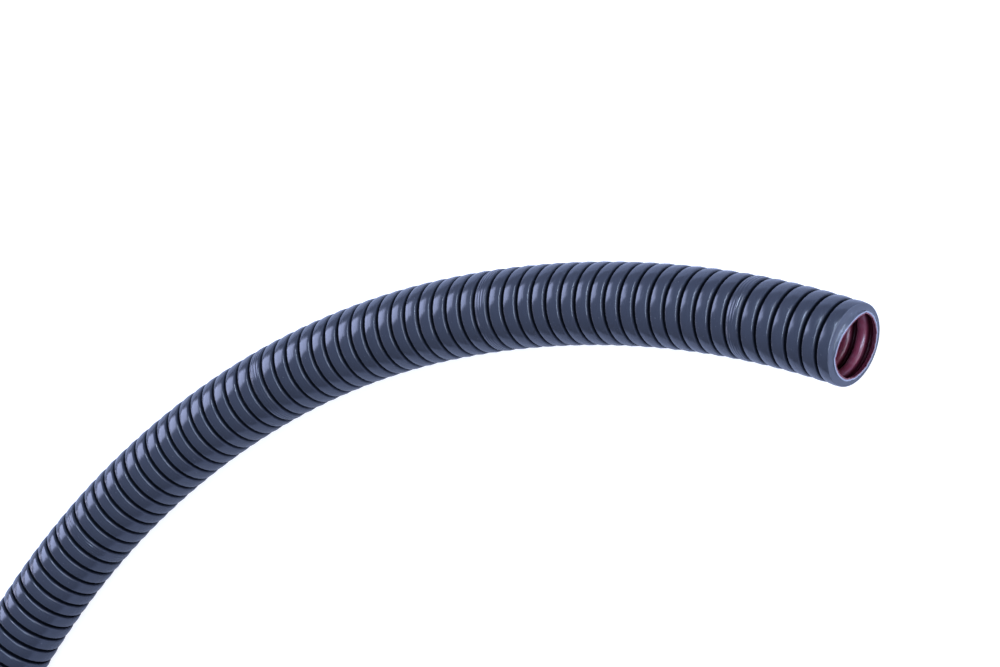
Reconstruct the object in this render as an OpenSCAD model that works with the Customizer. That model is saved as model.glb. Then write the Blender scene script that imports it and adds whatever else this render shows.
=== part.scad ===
// Flexible corrugated conduit: a grey outer jacket over a dark red inner liner.
// It lies on a level floor in one open bend. The first bends, from the near end,
// are those of a piece that was pulled open; the rest keeps the set of its coil.

/* [Section] */
// Outer diameter over the crests
outer_d = 25; // [20:0.5:32]
// Depth of a groove, from the crest to its floor
groove_depth = 2.2; // [1.6:0.1:3]
// Width of a groove at its mouth
groove_width = 1.25; // [0.9:0.05:1.8]
// Radius of a crest's rounded shoulders
shoulder_r = 0.4; // [0.3:0.05:1]
// Wall of the outer jacket
jacket_wall = 0.45; // [0.4:0.05:0.8]
// Wall of the inner liner
liner_wall = 0.35; // [0.3:0.05:0.5]

/* [Length] */
// Distance from one crest to the next
pitch = 5.38; // [5:0.01:6]
// Number of crests: 186 make one metre
crest_count = 186; // [100:1:190]

/* [Bends] */
// Lengths of the four bends that follow the near end
bend_lengths = [40, 110, 110, 110]; // [30:1:120]
// Radii of those four bends, to the centre line
bend_radii = [325, 340, 280, 275]; // [240:1:400]
// Radius that the rest of the length keeps from its coil
coil_r = 181.6; // [160:0.2:260]

/* [Hidden] */
$fn = 64;

// Clearance that keeps two bodies' faces from lying on each other
step = 0.04;

// Radii of the walls, from the outside in
crest_r = outer_d / 2;
root_r = crest_r - groove_depth;
jacket_crest_in = crest_r - jacket_wall;
jacket_root_in = root_r - jacket_wall;
liner_crest_in = jacket_crest_in - liner_wall;
liner_root_in = jacket_root_in - liner_wall;

// Crests and grooves are separate straight rings, turned to the bend one by one.
// Each groove ring's floor runs past the crest's side wall by this lip, so that
// it still reaches the wall on the inside and the outside of the tightest bend.
tightest_r = min(min(bend_radii), coil_r);
lip = root_r * pitch / 2 / tightest_r + step;

// Half widths along the axis, from the middle of a crest or of a groove
jacket_half = (pitch - groove_width) / 2;
jacket_half_in = jacket_half - jacket_wall;
liner_half = jacket_half_in - lip - step;
liner_half_in = liner_half - liner_wall;
jacket_floor_half = pitch / 2 - jacket_half_in + lip;
liner_floor_half = pitch / 2 - liner_half_in + lip;

// The direction of the centre line, in degrees, at a distance from the near end.
// It leaves the near end towards -X and turns by distance over radius.
bend_starts = [for (i = 0, s = 0; i <= len(bend_lengths); s = s + (i < len(bend_lengths) ? bend_lengths[i] : 0),
                i = i + 1) s];
function reach(s, i) = max(0, min(s - bend_starts[i], bend_lengths[i]));
function turned(s, i = 0) =
    i == len(bend_lengths)
    ? max(0, s - bend_starts[i]) / coil_r
    : reach(s, i) / bend_radii[i] + turned(s, i + 1);
function heading(s) = 180 + turned(s) * 180 / PI;

// Points of the centre line half a pitch apart: groove, crest, groove and so on
half = pitch / 2;
steps = 2 * crest_count;
function along(s) = [cos(heading(s)), sin(heading(s))];
path = [for (i = 0, p = [0, 0]; i <= steps; p = p + half * along((i + 0.5) * half), i = i + 1) p];

// The crests' outline on the floor, whose middle is the part's origin
function crest_span(i, axis) =
    let (t = along(i * half))
    crest_r * abs(t[1 - axis]) + jacket_half * abs(t[axis]);
highs = [for (axis = [0, 1]) max([for (i = [1:2:steps]) path[i][axis] + crest_span(i, axis)])];
lows = [for (axis = [0, 1]) min([for (i = [1:2:steps]) path[i][axis] - crest_span(i, axis)])];
middle = (highs + lows) / 2;

// Where path point i lies and how it is turned, as seen from path point j
module seen_from(j, i) {
    away = path[i] - path[j];
    t = along(j * half);
    translate([away * t, away * [-t[1], t[0]], 0])
        rotate([0, 0, heading(i * half) - heading(j * half)])
            children();
}

// The rings from path point a to path point b, joined two by two. Each pair is
// drawn as seen from the point between them, so that the faces that meet there
// stand square to the axes. Children: floor, crest, near end's floor, far end's.
function between(a, b) = floor((a + b) / 2);
module chain(a, b) {
    m = between(a, b);
    if (a == b)
        children(a == 0 ? 2 : a == steps ? 3 : a % 2);
    else {
        seen_from(m, between(a, m))
            chain(a, m) {
                children(0);
                children(1);
                children(2);
                children(3);
            }
        seen_from(m, between(m + 1, b))
            chain(m + 1, b) {
                children(0);
                children(1);
                children(2);
                children(3);
            }
    }
}

// A ring turned round the X axis; its section has X as the distance from that
// axis and Y as the distance along it
module ring() {
    rotate([0, 90, 0])
        rotate_extrude()
            children();
}

// A crest: a ring of inverted U section, with its outer shoulders rounded
module crest(out_r, in_r, low_r, half_out, half_in, corner_r) {
    shoulder = corner_r == 0
        ? [[out_r, half_out]]
        : [for (a = [0:45:90]) [out_r, half_out] + corner_r * [cos(a) - 1, sin(a) - 1]];
    last = len(shoulder) - 1;
    ring()
        polygon(concat(
            [[low_r, half_in], [low_r, half_out]],
            [for (i = [last:-1:0]) shoulder[i]],
            [for (p = shoulder) [p[0], -p[1]]],
            [[low_r, -half_out], [low_r, -half_in], [in_r, -half_in], [in_r, half_in]]));
}

// A groove's floor, from one distance along the axis to another
module floor_ring(out_r, in_r, from, to) {
    ring()
        translate([in_r, from])
            square([out_r - in_r, to - from]);
}

// One layer: its crests, and the groove floors between them. The two end floors
// stop at the cut, in the middle of their groove.
module layer(out_r, in_r, floor_out, floor_in, half_out, half_in, floor_half, corner_r) {
    low_r = (floor_out + floor_in) / 2;
    m = between(0, steps);
    translate([path[m][0] - middle[0], path[m][1] - middle[1], crest_r])
        rotate([0, 0, heading(m * half)])
            chain(0, steps) {
                floor_ring(floor_out, floor_in, -floor_half, floor_half);
                crest(out_r, in_r, low_r, half_out, half_in, corner_r);
                floor_ring(floor_out, floor_in, 0, floor_half);
                floor_ring(floor_out, floor_in, -floor_half, 0);
            }
}

module jacket() {
    color([0.27, 0.29, 0.35])
        layer(crest_r, jacket_crest_in, root_r, jacket_root_in,
              jacket_half, jacket_half_in, jacket_floor_half, shoulder_r);
}

module liner() {
    color([0.36, 0.09, 0.13])
        layer(jacket_crest_in, liner_crest_in, jacket_root_in, liner_root_in,
              liner_half, liner_half_in, liner_floor_half, 0);
}

jacket();
liner();
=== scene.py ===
"""Corrugated conduit: a grey jacket over a dark red liner, lying on a pale floor."""
import math

import bpy
import numpy as np
from mathutils import Matrix, Vector


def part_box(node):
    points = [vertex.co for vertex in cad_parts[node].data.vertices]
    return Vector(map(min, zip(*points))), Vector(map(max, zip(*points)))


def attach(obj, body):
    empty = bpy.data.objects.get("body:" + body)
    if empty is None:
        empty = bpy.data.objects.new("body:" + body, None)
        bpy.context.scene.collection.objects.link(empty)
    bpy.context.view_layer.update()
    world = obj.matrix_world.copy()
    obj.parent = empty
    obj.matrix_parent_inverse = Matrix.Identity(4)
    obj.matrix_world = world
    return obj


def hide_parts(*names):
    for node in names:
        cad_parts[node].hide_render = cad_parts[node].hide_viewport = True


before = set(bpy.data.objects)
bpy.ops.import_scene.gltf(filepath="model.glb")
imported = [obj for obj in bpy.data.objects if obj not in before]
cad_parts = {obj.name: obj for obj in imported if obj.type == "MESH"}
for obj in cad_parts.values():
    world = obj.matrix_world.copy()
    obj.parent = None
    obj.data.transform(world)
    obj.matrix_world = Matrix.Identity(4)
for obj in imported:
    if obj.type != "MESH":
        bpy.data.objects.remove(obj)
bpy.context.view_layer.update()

MM = 0.001

# Section and length in metres, as in part.scad but for the shoulders, which have 0.4 mm there
OUTER_D = 25 * MM
GROOVE_DEPTH = 2.2 * MM
GROOVE_WIDTH = 1.25 * MM
SHOULDER = 0.5 * MM
JACKET_WALL = 0.45 * MM
LINER_WALL = 0.35 * MM
PITCH = 5.38 * MM
CREST_COUNT = 186
LENGTH = PITCH * CREST_COUNT

CREST_R = OUTER_D / 2
ROOT_R = CREST_R - GROOVE_DEPTH

# Bends from the near end, as in part.scad: lengths and radii, then the coil's set
BEND_LENGTHS = [40 * MM, 110 * MM, 110 * MM, 110 * MM]
BEND_RADII = [325 * MM, 340 * MM, 280 * MM, 275 * MM]
COIL_R = 181.6 * MM

# Vertices round a ring: along the length, on the faces that touch between the
# two layers, and on the last crest at each end
AROUND = 36
AROUND_BETWEEN = 18
AROUND_END = 144

# The knife's marks on the near end's cut: a stub on one side that stands past the
# cut and is pinched inwards, burrs all round, and a corner that stands out
STUB_LENGTH = 1.0 * MM
STUB_TURN = math.radians(115)
PINCH_DEPTH = 0.55 * MM
PINCH_TURN = math.radians(75)
BURR_ALONG = 0.03 * MM
BURR_OUT = 0.02 * MM
CORNER_OUT = 0.15 * MM
CORNER_TURN = math.radians(6)

# How much of those marks the far end has, turned round both along the length and in radius
FAR_RAGGED = -0.3

# How pale the half groove and shoulder beside a cut are, where the cut's own face is 1
CHAFED = 0.14

# How deep in shade the bore's last half ridge is, where a hollow's floor is 1
STUB_SHADE = 0.55

# The crest that the lights are aimed at, in the middle of the stretch that the camera sees
LIT_CREST = int(CREST_COUNT * 0.18)


# ---------------------------------------------------------------- centre line

def centre_line():
    """Functions that give the point and the heading at a distance from the near end."""
    arcs = []
    point, angle, start = np.zeros(2), math.pi, 0.0
    for length, radius in zip(BEND_LENGTHS + [LENGTH], BEND_RADII + [COIL_R]):
        arcs.append((start, radius, point, angle))
        end = angle + length / radius
        point = point + radius * np.array([math.sin(end) - math.sin(angle),
                                           math.cos(angle) - math.cos(end)])
        angle, start = end, start + length

    def at(s):
        start, radius, point, angle = [a for a in arcs if a[0] <= s or a[0] == 0][-1]
        end = angle + (s - start) / radius
        move = radius * np.array([math.sin(end) - math.sin(angle),
                                  math.cos(angle) - math.cos(end)])
        return point + move, end

    return at


line_at = centre_line()


def outline_middle():
    """The middle of the conduit's outline on the floor, in the centre line's own frame."""
    low, high = np.full(2, np.inf), np.full(2, -np.inf)
    half = (PITCH - GROOVE_WIDTH) / 2
    for i in range(CREST_COUNT):
        point, angle = line_at((i + 0.5) * PITCH)
        along = np.abs([math.cos(angle), math.sin(angle)])
        reach = CREST_R * along[::-1] + half * along
        low, high = np.minimum(low, point - reach), np.maximum(high, point + reach)
    return (low + high) / 2


cad_low, cad_high = (np.array(v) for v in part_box("jacket"))
shift = (cad_low + cad_high)[:2] / 2 - outline_middle()
axis_z = (cad_low + cad_high)[2] / 2


def axis_point(s):
    point, angle = line_at(s)
    return np.array([*(point + shift), axis_z]), angle


# -------------------------------------------------------------------- camera

def make_camera():
    """The photograph's view: from above the floor, rolled so that the bend runs left to right."""
    azimuth, elevation, roll = (math.radians(a) for a in (10.09, 52.1, 82.8))
    distance, lens = 1.0608, 126.1
    near_end, _ = axis_point(0)
    target = Vector(near_end) + Vector((-122.7, -31.1, 0)) * MM
    back = Vector((math.cos(elevation) * math.cos(azimuth),
                   math.cos(elevation) * math.sin(azimuth),
                   math.sin(elevation)))
    data = bpy.data.cameras.new("camera")
    data.lens = lens
    data.clip_start = 0.05
    camera = bpy.data.objects.new("camera", data)
    bpy.context.scene.collection.objects.link(camera)
    level = back.to_track_quat("Z", "Y").to_matrix().to_4x4()
    spin = Matrix.Rotation(-roll, 4, "Z")
    camera.matrix_world = Matrix.Translation(target + back * distance) @ level @ spin
    bpy.context.scene.camera = camera


make_camera()


# ------------------------------------------------------------------- sweeping

def knife_marks(turn):
    """How far the near end's cut strays, along the length and in radius.

    The stub and its pinch start at the outside of the bend, where turn is 0.
    """
    stub = math.sin(math.pi * min(turn / STUB_TURN, 1)) ** 0.7 if turn > 0 else 0
    pinch = math.sin(math.pi * min(turn / PINCH_TURN, 1)) ** 0.5 if turn > 0 else 0
    burr = math.sin(11 * turn) + math.sin(23 * turn + 1) + math.sin(41 * turn + 2)
    corner = math.exp(-((turn - math.pi) / CORNER_TURN) ** 2)
    off_s = -STUB_LENGTH * stub - BURR_ALONG * burr
    off_r = -PINCH_DEPTH * pinch + BURR_OUT * burr + CORNER_OUT * corner
    return off_s, off_r


class Skin:
    """A mesh of rings swept along the centre line, with exact normals and a wrap map."""

    def __init__(self):
        self.points, self.normals, self.faces = [], [], []
        self.wraps, self.depths = [], []

    def ring(self, s, radius, lean, around, depth=0.0, cut=0.0, ragged=0.0):
        """One ring of vertices; lean is the normal's slope towards the far end, in degrees.

        depth and cut go to a map for the material. ragged moves the ring's points as
        the knife left them: 1 is the whole of it, towards the outside of the near end.
        """
        first = len(self.points)
        centre, angle = axis_point(s)
        along = np.array([math.cos(angle), math.sin(angle), 0])
        side = np.array([along[1], -along[0], 0])
        up = np.array([0, 0, 1])
        tilt = math.radians(lean)
        for i in range(around):
            turn = 2 * math.pi * i / around
            out = math.cos(turn) * side + math.sin(turn) * up
            off_s, off_r = (ragged * off for off in knife_marks(turn))
            self.points.append(centre + out * (radius + off_r) + along * off_s)
            self.normals.append(math.cos(tilt) * out + math.sin(tilt) * along)
            self.wraps.append((s / PITCH, i / around))
            self.depths.append((depth, cut))
        return first, around

    def bridge(self, one, two):
        """Faces between two rings; they face outwards where the second is further along."""
        (a, n), (b, m) = one, two
        if n == m:
            for i in range(n):
                j = (i + 1) % n
                self.faces.append((a + i, b + i, b + j, a + j))
            return
        fine_first = n > m
        coarse, fine, count, per = (b, a, m, n // m) if fine_first else (a, b, n, m // n)
        for i in range(count):
            j = (i + 1) % count
            c0, c1 = coarse + i, coarse + j
            marks = [fine + (i * per + k) % (count * per) for k in range(per + 1)]
            middle = per // 2
            fans = [(c0, marks[k], marks[k + 1]) for k in range(middle)]
            fans.append((c0, marks[middle], c1))
            fans += [(c1, marks[k], marks[k + 1]) for k in range(middle, per)]
            if fine_first:
                fans = [f[::-1] for f in fans]
            self.faces += fans

    def build(self, name):
        mesh = bpy.data.meshes.new(name)
        mesh.from_pydata([tuple(p) for p in self.points], [], self.faces)
        mesh.update()
        wrap = mesh.uv_layers.new(name="wrap")
        corners = np.empty(len(mesh.loops), dtype=np.int32)
        mesh.loops.foreach_get("vertex_index", corners)
        uv = np.array(self.wraps)[corners]
        starts = np.empty(len(mesh.polygons), dtype=np.int32)
        totals = np.empty(len(mesh.polygons), dtype=np.int32)
        mesh.polygons.foreach_get("loop_start", starts)
        mesh.polygons.foreach_get("loop_total", totals)
        # A face across the wrap map's seam ends at 1 there, and not back at 0
        for k in range(4):
            has = totals > k
            index = starts[has] + k
            top = np.maximum.reduceat(uv[:, 1], starts)[has]
            uv[index, 1] += (top - uv[index, 1] > 0.5)
        wrap.data.foreach_set("uv", uv.astype(np.float32).ravel())
        depth = mesh.uv_layers.new(name="depth")
        depth.data.foreach_set("uv", np.array(self.depths, dtype=np.float32)[corners].ravel())
        mesh.polygons.foreach_set("use_smooth", np.ones(len(mesh.polygons), dtype=bool))
        mesh.normals_split_custom_set_from_vertices([tuple(n) for n in self.normals])
        piece = bpy.data.objects.new(name, mesh)
        bpy.context.scene.collection.objects.link(piece)
        return piece


# ------------------------------------------------------------------- sections

def mirrored(half):
    """A whole pitch from half a pitch: (distance, radius, lean) from groove to crest."""
    return half + [(PITCH - s, r, -lean) for s, r, lean in reversed(half)]


def arc(centre_s, centre_r, radius, start, end, steps):
    """Points on a round corner; angles in degrees from the outward direction."""
    points = []
    for k in range(steps + 1):
        a = start + (end - start) * k / steps
        points.append((centre_s + radius * math.sin(math.radians(a)),
                       centre_r + radius * math.cos(math.radians(a)), a))
    return points


CROWN = 10            # how far the top of a crest is domed, in degrees at its edges
DRAFT = 0.16 * MM     # a groove's sides lean in by this towards its floor


def outer_half(steps):
    """The jacket's outside from a groove's middle to the edge of a crest's top."""
    drop = (PITCH / 2 - GROOVE_WIDTH / 2 - SHOULDER) * math.tan(math.radians(CROWN / 2))
    floor = [(GROOVE_WIDTH / 2 - DRAFT, ROOT_R, -50)]
    centre_s = GROOVE_WIDTH / 2 + SHOULDER * math.cos(math.radians(CROWN / 2))
    return floor + arc(centre_s, CREST_R - drop - SHOULDER, SHOULDER, -86, -CROWN, steps)


def ragged_at(s):
    """How much of the knife's marks a ring at s shows: less and less away from each end."""
    reach = GROOVE_WIDTH / 2 - DRAFT
    if s < reach:
        return 1 - s / reach
    return FAR_RAGGED * (1 - (LENGTH - s) / reach) if LENGTH - s < reach else 0.0


def make_jacket():
    skin = Skin()
    inner_r, inner_low = CREST_R - JACKET_WALL, ROOT_R - JACKET_WALL
    step_s = GROOVE_WIDTH / 2 + JACKET_WALL
    inside = mirrored([(step_s, inner_low, 0), (step_s, inner_r, 0)])
    # Fine ribs on the stub of groove that the knife left, from the cut inwards
    rib_r = ROOT_R + 0.05 * MM
    stub = [(0.01 * MM, ROOT_R, 0), (0.08 * MM, ROOT_R, -25), (0.11 * MM, rib_r, 0),
            (0.15 * MM, ROOT_R, 25), (0.21 * MM, ROOT_R, -25), (0.24 * MM, rib_r, 0),
            (0.28 * MM, ROOT_R, 0)]

    outside = []
    for i in range(CREST_COUNT):
        at_end = i in (0, CREST_COUNT - 1)
        around = AROUND_END if at_end else AROUND
        half = outer_half(8 if at_end else 3)
        rows = mirrored(half)
        rows.insert(len(half), (PITCH / 2, CREST_R, 0))
        if i == 0:
            rows = stub + rows
        if i == CREST_COUNT - 1:
            rows += [(PITCH - s, r, -lean) for s, r, lean in reversed(stub)]
        outside += [(i * PITCH + s, r, lean, around) for s, r, lean in rows]

    rings = [skin.ring(0, ROOT_R, -90, AROUND_END, 0, 1, 1)]
    for s, r, lean, around in outside:
        in_groove = PITCH / 2 < s < LENGTH - PITCH / 2
        # How deep the ring lies in its groove: the jacket's material paints shade from this value
        depth = (CREST_R - r) / GROOVE_DEPTH if in_groove else 0
        chafed = CHAFED if min(s, LENGTH - s) < GROOVE_WIDTH / 2 + SHOULDER / 2 else 0
        rings.append(skin.ring(s, r, lean, around, depth, chafed, ragged_at(s)))
    rings.append(skin.ring(LENGTH, ROOT_R, 90, AROUND_END, 0, 1, FAR_RAGGED))

    hidden = [skin.ring(LENGTH, inner_low, 90, AROUND_END, 0, 1, FAR_RAGGED)]
    for i in reversed(range(CREST_COUNT)):
        around = AROUND_END if i in (0, CREST_COUNT - 1) else AROUND_BETWEEN
        hidden += [skin.ring(i * PITCH + s, r, 180, around) for s, r, lean in reversed(inside)]
    hidden.append(skin.ring(0, inner_low, -90, AROUND_END, 0, 1, 1))

    loop = rings + hidden
    for one, two in zip(loop, loop[1:] + loop[:1]):
        skin.bridge(one, two)
    return skin.build("jacket_tube")


# The bore's ridges: a broad round top up to RIDGE_TOP degrees, a tighter corner from
# there to a wall of WALL_LEAN degrees, and a fillet down into the hollow
RIDGE_HALF = 1.9 * MM
RIDGE_TOP_R = 2.2 * MM
RIDGE_TOP = 38
RIDGE_CORNER_R = 0.75 * MM
WALL_LEAN = 84
HOLLOW_R = 0.45 * MM

CLOSE_CRESTS = 8     # crests from each end whose bore shows through the mouth, and is finer


def inner_half(in_r, in_low, steps):
    """The bore from a ridge's middle to a hollow's: a broad ridge and a filleted hollow."""
    edge = math.radians(RIDGE_TOP)
    edge_s, edge_rise = RIDGE_TOP_R * math.sin(edge), RIDGE_TOP_R * (1 - math.cos(edge))
    rows = [(RIDGE_TOP_R * math.sin(a), in_low + RIDGE_TOP_R * (1 - math.cos(a)), math.degrees(a))
            for a in (edge * (k + 1) / (steps + 1) for k in range(steps))]
    for k in range(steps + 1):
        a = math.radians(RIDGE_TOP + (WALL_LEAN - RIDGE_TOP) * k / steps)
        rows.append((edge_s + RIDGE_CORNER_R * (math.sin(a) - math.sin(edge)),
                     in_low + edge_rise + RIDGE_CORNER_R * (math.cos(edge) - math.cos(a)),
                     math.degrees(a)))
    for k in range(steps + 1):
        a = math.radians(WALL_LEAN * (1 - k / steps))
        rows.append((RIDGE_HALF + HOLLOW_R * (1 - math.sin(a)), in_r + HOLLOW_R * (math.cos(a) - 1),
                     math.degrees(a)))
    return rows


def make_liner():
    skin = Skin()
    out_r, out_low = CREST_R - JACKET_WALL, ROOT_R - JACKET_WALL
    in_r, in_low = out_r - LINER_WALL, out_low - LINER_WALL
    out_s = GROOVE_WIDTH / 2 + JACKET_WALL
    outside = mirrored([(out_s, out_low, 0), (out_s, out_r, 0)])

    rings = [skin.ring(0, out_low, -90, AROUND_END, 0, 1, 1)]
    inner = []
    for i in range(CREST_COUNT):
        at_end = i in (0, CREST_COUNT - 1)
        close = min(i, CREST_COUNT - 1 - i) < CLOSE_CRESTS
        around = AROUND_END if at_end else AROUND_BETWEEN
        rings += [skin.ring(i * PITCH + s, r, lean, around) for s, r, lean in outside]
        around = AROUND_END if at_end else AROUND
        half = inner_half(in_r, in_low, 4 if close else 1)
        inner += [(i * PITCH + s, r, lean, around) for s, r, lean in mirrored(half)]
    rings.append(skin.ring(LENGTH, out_low, 90, AROUND_END, 0, 1, FAR_RAGGED))

    rings.append(skin.ring(LENGTH, in_low, 90, AROUND_END, 0, 1, FAR_RAGGED))
    rings.append(skin.ring(LENGTH, in_low, 180, AROUND_END, 1, 0, FAR_RAGGED))
    for s, r, lean, around in reversed(inner):
        # The stub that ends in the cut lies partly in shade
        stub = min(s, LENGTH - s) < RIDGE_HALF
        depth = STUB_SHADE if stub else (r - in_low) / (in_r - in_low)
        rings.append(skin.ring(s, r, 180 - lean, around, depth))
    rings.append(skin.ring(0, in_low, 180, AROUND_END, 1, 0, 1))
    rings.append(skin.ring(0, in_low, -90, AROUND_END, 0, 1, 1))
    for one, two in zip(rings, rings[1:] + rings[:1]):
        skin.bridge(one, two)
    return skin.build("liner_tube")


# ------------------------------------------------------------------ materials

def new_material(name):
    material = bpy.data.materials.new(name)
    material.use_nodes = True
    nodes = material.node_tree.nodes
    nodes.clear()
    output = nodes.new("ShaderNodeOutputMaterial")
    shader = nodes.new("ShaderNodeBsdfPrincipled")
    material.node_tree.links.new(shader.outputs[0], output.inputs[0])
    return material, nodes, material.node_tree.links, shader


def ranged(nodes, links, value, low, high, to_low, to_high, smooth=False):
    span = nodes.new("ShaderNodeMapRange")
    if smooth:
        span.interpolation_type = "SMOOTHSTEP"
    span.inputs["From Min"].default_value = low
    span.inputs["From Max"].default_value = high
    span.inputs["To Min"].default_value = to_low
    span.inputs["To Max"].default_value = to_high
    links.new(value, span.inputs["Value"])
    return span.outputs["Result"]


def map_parts(nodes, links, name):
    """A UV map's node and its two separate values."""
    uv = nodes.new("ShaderNodeUVMap")
    uv.uv_map = name
    split = nodes.new("ShaderNodeSeparateXYZ")
    links.new(uv.outputs["UV"], split.inputs[0])
    return uv.outputs["UV"], split.outputs["X"], split.outputs["Y"]


def mixed(nodes, links, factor, one, two):
    """A colour mixed by a socket's factor from two, each of them a colour or a socket."""
    mix = nodes.new("ShaderNodeMix")
    mix.data_type = "RGBA"
    for socket, value in ((mix.inputs[6], one), (mix.inputs[7], two)):
        if isinstance(value, tuple):
            socket.default_value = value
        else:
            links.new(value, socket)
    links.new(factor, mix.inputs[0])
    return mix.outputs[2]


def noise(nodes, links, vector, scale, detail, roughness=0.5):
    texture = nodes.new("ShaderNodeTexNoise")
    texture.inputs["Scale"].default_value = scale
    texture.inputs["Detail"].default_value = detail
    texture.inputs["Roughness"].default_value = roughness
    links.new(vector, texture.inputs["Vector"])
    return texture.outputs["Fac"]


def streaks(nodes, links, wrap, detail, stretch):
    """Streaks that run round the tube: noise with stretch's values a pitch and a whole turn."""
    mapping = nodes.new("ShaderNodeMapping")
    mapping.inputs["Scale"].default_value = stretch
    links.new(wrap, mapping.inputs["Vector"])
    return noise(nodes, links, mapping.outputs["Vector"], 1, detail, roughness=0.6)


def bumped(nodes, links, height, strength, distance, normal=None):
    """A normal with the height's bumps on it; distance is their height in metres."""
    bump = nodes.new("ShaderNodeBump")
    bump.inputs["Strength"].default_value = strength
    bump.inputs["Distance"].default_value = distance
    links.new(height, bump.inputs["Height"])
    if normal is not None:
        links.new(normal, bump.inputs["Normal"])
    return bump.outputs["Normal"]


def maths(nodes, links, operation, value, second):
    step = nodes.new("ShaderNodeMath")
    step.operation = operation
    links.new(value, step.inputs[0])
    if isinstance(second, (int, float)):
        step.inputs[1].default_value = second
    else:
        links.new(second, step.inputs[1])
    return step.outputs[0]


BLOCK = 17           # one crest in this many carries fine lines, which may be a mould's joint
BLOCK_FIRST = 6      # the first of them, counted from the near end as 0
BLOCK_LINES = 6      # lines in a pitch


def block_marks(nodes, links, turns, normal):
    """Fine raised lines round one crest of every BLOCK; turns counts pitches from the near end."""
    crest = maths(nodes, links, "FLOOR", turns, 0)
    place = maths(nodes, links, "MODULO", crest, BLOCK)
    away = maths(nodes, links, "ABSOLUTE", maths(nodes, links, "SUBTRACT", place, BLOCK_FIRST), 0)
    here = maths(nodes, links, "LESS_THAN", away, 0.5)
    waves = maths(nodes, links, "MULTIPLY", turns, 2 * math.pi * BLOCK_LINES)
    lines = maths(nodes, links, "SINE", waves, 0)
    height = maths(nodes, links, "MULTIPLY", lines, here)
    return bumped(nodes, links, height, 0.4, 0.08 * MM, normal)


def jacket_material():
    material, nodes, links, shader = new_material("grey_pvc")
    wrap, turns, _ = map_parts(nodes, links, "wrap")
    _, depth, cut = map_parts(nodes, links, "depth")
    place = nodes.new("ShaderNodeTexCoord").outputs["Object"]
    cloud = noise(nodes, links, place, 60, 4)
    body = mixed(nodes, links, cloud, (0.025, 0.028, 0.040, 1), (0.031, 0.034, 0.048, 1))
    dust = ranged(nodes, links, noise(nodes, links, place, 1500, 2), 0.70, 0.78, 0.0, 0.25)
    body = mixed(nodes, links, dust, body, (0.20, 0.20, 0.23, 1))
    # Painted shade: towards the floor of each groove the colour darkens to near black and the
    # specular level falls, standing in for the shade there
    groove_shade = ranged(nodes, links, depth, 0.24, 0.52, 0.0, 1.0, smooth=True)
    body = mixed(nodes, links, groove_shade, body, (0.003, 0.0035, 0.005, 1))
    body = mixed(nodes, links, cut, body, (0.34, 0.35, 0.42, 1))
    links.new(body, shader.inputs["Base Color"])
    links.new(ranged(nodes, links, groove_shade, 0, 1, 0.5, 0.03), shader.inputs["Specular IOR Level"])

    streak = streaks(nodes, links, wrap, 2, (9, 4, 1))
    drift = streaks(nodes, links, wrap, 1, (2.3, 5, 1))
    links.new(ranged(nodes, links, streak, 0.3, 0.7, 0.15, 0.26), shader.inputs["Roughness"])
    fine = bumped(nodes, links, streak, 0.25, 0.1 * MM)
    broad = bumped(nodes, links, drift, 0.18, 0.2 * MM, fine)
    links.new(block_marks(nodes, links, turns, broad), shader.inputs["Normal"])
    return material


def liner_material():
    material, nodes, links, shader = new_material("red_liner")
    wrap, _, _ = map_parts(nodes, links, "wrap")
    _, depth, cut = map_parts(nodes, links, "depth")
    place = nodes.new("ShaderNodeTexCoord").outputs["Object"]
    cloud = noise(nodes, links, place, 350, 3)
    body = mixed(nodes, links, cloud, (0.17, 0.026, 0.050, 1), (0.22, 0.042, 0.074, 1))
    bloom = ranged(nodes, links, cloud, 0.55, 0.7, 0.0, 0.3)
    body = mixed(nodes, links, bloom, body, (0.22, 0.12, 0.16, 1))
    shade = ranged(nodes, links, depth, 0.15, 0.8, 0.0, 1.0, smooth=True)
    body = mixed(nodes, links, shade, body, (0.02, 0.002, 0.005, 1))
    body = mixed(nodes, links, cut, body, (0.16, 0.03, 0.05, 1))
    links.new(body, shader.inputs["Base Color"])
    links.new(ranged(nodes, links, shade, 0, 1, 0.9, 0.1), shader.inputs["Specular IOR Level"])
    links.new(ranged(nodes, links, cloud, 0.3, 0.7, 0.27, 0.4), shader.inputs["Roughness"])
    ripple = bumped(nodes, links, streaks(nodes, links, wrap, 2, (5, 3, 1)), 0.5, 0.15 * MM)
    links.new(ripple, shader.inputs["Normal"])
    return material


# --------------------------------------------------------------------- pieces

jacket = make_jacket()
jacket.data.materials.append(jacket_material())
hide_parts("jacket")
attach(jacket, "root")

liner = make_liner()
liner.data.materials.append(liner_material())
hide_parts("liner")
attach(liner, "root")

route = [axis_point(LENGTH * k / CREST_COUNT)[0] for k in range(CREST_COUNT + 1)]


# ------------------------------------------------------------ floor and lights

def bright_where_seen(nodes, links, unseen, direct, reflected):
    """A strength for the camera's own rays, for reflections, and for all other rays."""
    path = nodes.new("ShaderNodeLightPath")
    strength = None
    rays = (("Is Glossy Ray", reflected), ("Is Transmission Ray", direct), ("Is Camera Ray", direct))
    for ray, value in rays:
        mix = nodes.new("ShaderNodeMix")
        mix.inputs["B"].default_value = value
        if strength is None:
            mix.inputs["A"].default_value = unseen
        else:
            links.new(strength, mix.inputs["A"])
        links.new(path.outputs[ray], mix.inputs["Factor"])
        strength = mix.outputs["Result"]
    return strength


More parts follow.
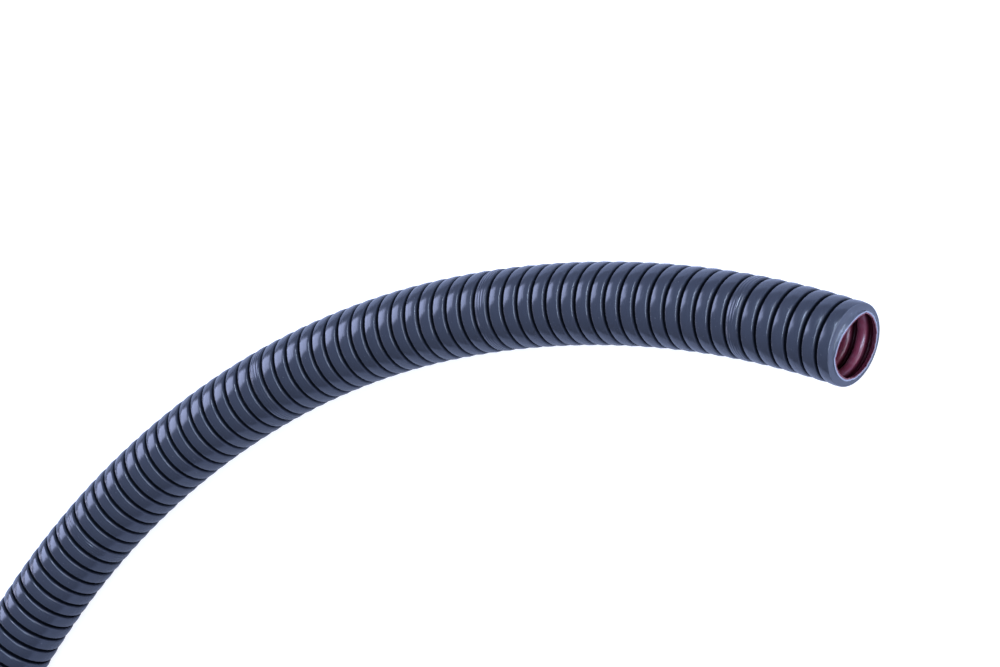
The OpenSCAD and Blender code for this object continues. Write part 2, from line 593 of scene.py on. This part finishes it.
def make_floor():
    mesh = bpy.data.meshes.new("floor")
    size = 6.0
    mesh.from_pydata([(-size, -size, 0), (size, -size, 0), (size, size, 0), (-size, size, 0)],
                     [], [(0, 1, 2, 3)])
    floor = bpy.data.objects.new("floor", mesh)
    bpy.context.scene.collection.objects.link(floor)
    material = bpy.data.materials.new("floor")
    material.use_nodes = True
    nodes, links = material.node_tree.nodes, material.node_tree.links
    nodes.clear()
    output = nodes.new("ShaderNodeOutputMaterial")
    diffuse = nodes.new("ShaderNodeBsdfDiffuse")
    diffuse.inputs["Color"].default_value = (0.39, 0.40, 0.49, 1)
    glow = nodes.new("ShaderNodeEmission")
    links.new(bright_where_seen(nodes, links, 0.0, 0.8, 0.08), glow.inputs["Strength"])
    total = nodes.new("ShaderNodeAddShader")
    links.new(diffuse.outputs[0], total.inputs[0])
    links.new(glow.outputs[0], total.inputs[1])
    links.new(total.outputs[0], output.inputs[0])
    mesh.materials.append(material)


def make_world():
    world = bpy.data.worlds.new("studio")
    bpy.context.scene.world = world
    world.use_nodes = True
    nodes, links = world.node_tree.nodes, world.node_tree.links
    nodes.clear()
    output = nodes.new("ShaderNodeOutputWorld")
    background = nodes.new("ShaderNodeBackground")
    background.inputs["Color"].default_value = (1, 1, 1, 1)
    links.new(bright_where_seen(nodes, links, 0.15, 1.0, 0.15), background.inputs["Strength"])
    links.new(background.outputs[0], output.inputs[0])


def make_softbox(name, azimuth, elevation, distance, width, height, power, color, tilt=0):
    """An area light that faces LIT_CREST; angles in degrees, sizes in metres, power in watts."""
    data = bpy.data.lights.new(name, "AREA")
    data.shape = "RECTANGLE"
    data.size, data.size_y = width, height
    data.energy = power
    data.color = color
    light = bpy.data.objects.new(name, data)
    bpy.context.scene.collection.objects.link(light)
    a, e = math.radians(azimuth), math.radians(elevation)
    back = Vector((math.cos(e) * math.cos(a), math.cos(e) * math.sin(a), math.sin(e)))
    target = Vector(route[LIT_CREST])
    turn = back.to_track_quat("Z", "Y").to_matrix().to_4x4()
    spin = Matrix.Rotation(math.radians(tilt), 4, "Z")
    light.matrix_world = Matrix.Translation(target + back * distance) @ turn @ spin


make_floor()
make_world()
make_softbox("key", 174.5, 28.5, 3.0, 1.8, 1.8, 72, (0.56, 0.64, 1.0), -41)
make_softbox("over", 35, 68, 2.0, 3.6, 0.5, 96, (0.55, 0.71, 1.0))
make_softbox("crown", 88, 52, 2.0, 0.15, 1.3, 16, (0.70, 0.80, 1.0))
make_softbox("side", 15, 27, 2.0, 2.0, 0.7, 22, (0.76, 0.84, 1.0))
make_softbox("edge", 205, 7, 2.0, 1.2, 0.3, 5, (0.7, 0.72, 1.0))

bpy.context.scene.view_settings.view_transform = "Standard"
